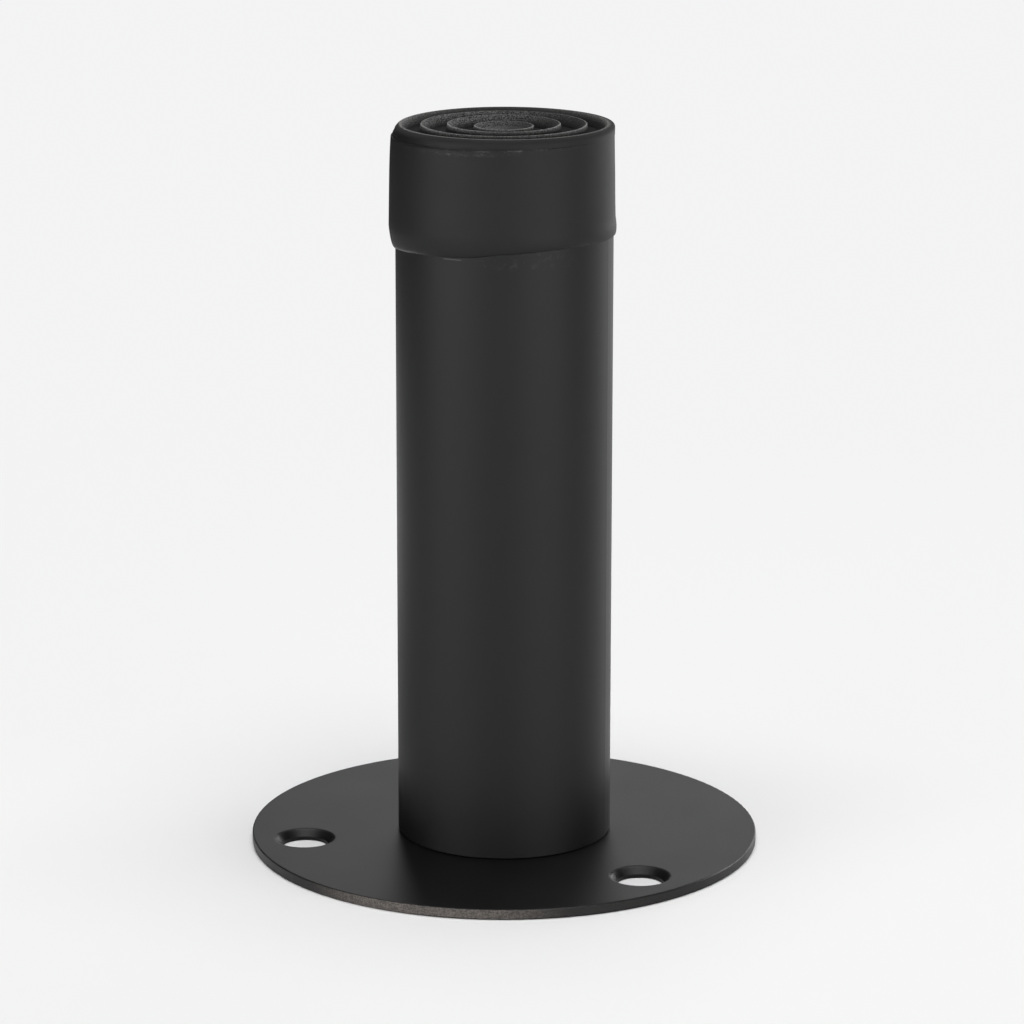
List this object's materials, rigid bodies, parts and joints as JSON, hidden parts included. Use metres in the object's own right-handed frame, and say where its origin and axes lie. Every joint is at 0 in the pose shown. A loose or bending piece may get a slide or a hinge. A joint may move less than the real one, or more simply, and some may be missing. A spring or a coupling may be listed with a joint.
{
  "type": "door bumper",
  "caption": "Straight post-type door bumper: a round base plate with countersunk screw holes, a steel tube standing on it, and a ribbed rubber cap on the tube's free end.",
  "frame": {"origin": "centre of the base plate's underside", "axes": "+Z along the tube's axis, from the base plate to the rubber cap; +Y through one screw hole"},
  "size_m": [0.1, 0.1, 0.143],
  "materials": {
    "plate_coating": "satin black powder coat on steel sheet",
    "tube_coating": "satin black powder coat on steel tube",
    "cap_rubber": "matt moulded rubber"
  },
  "bodies": {
    "root": {"base_plate": "plate_coating", "post_tube": "tube_coating", "rubber_cap": "cap_rubber"}
  },
  "joints": []
}
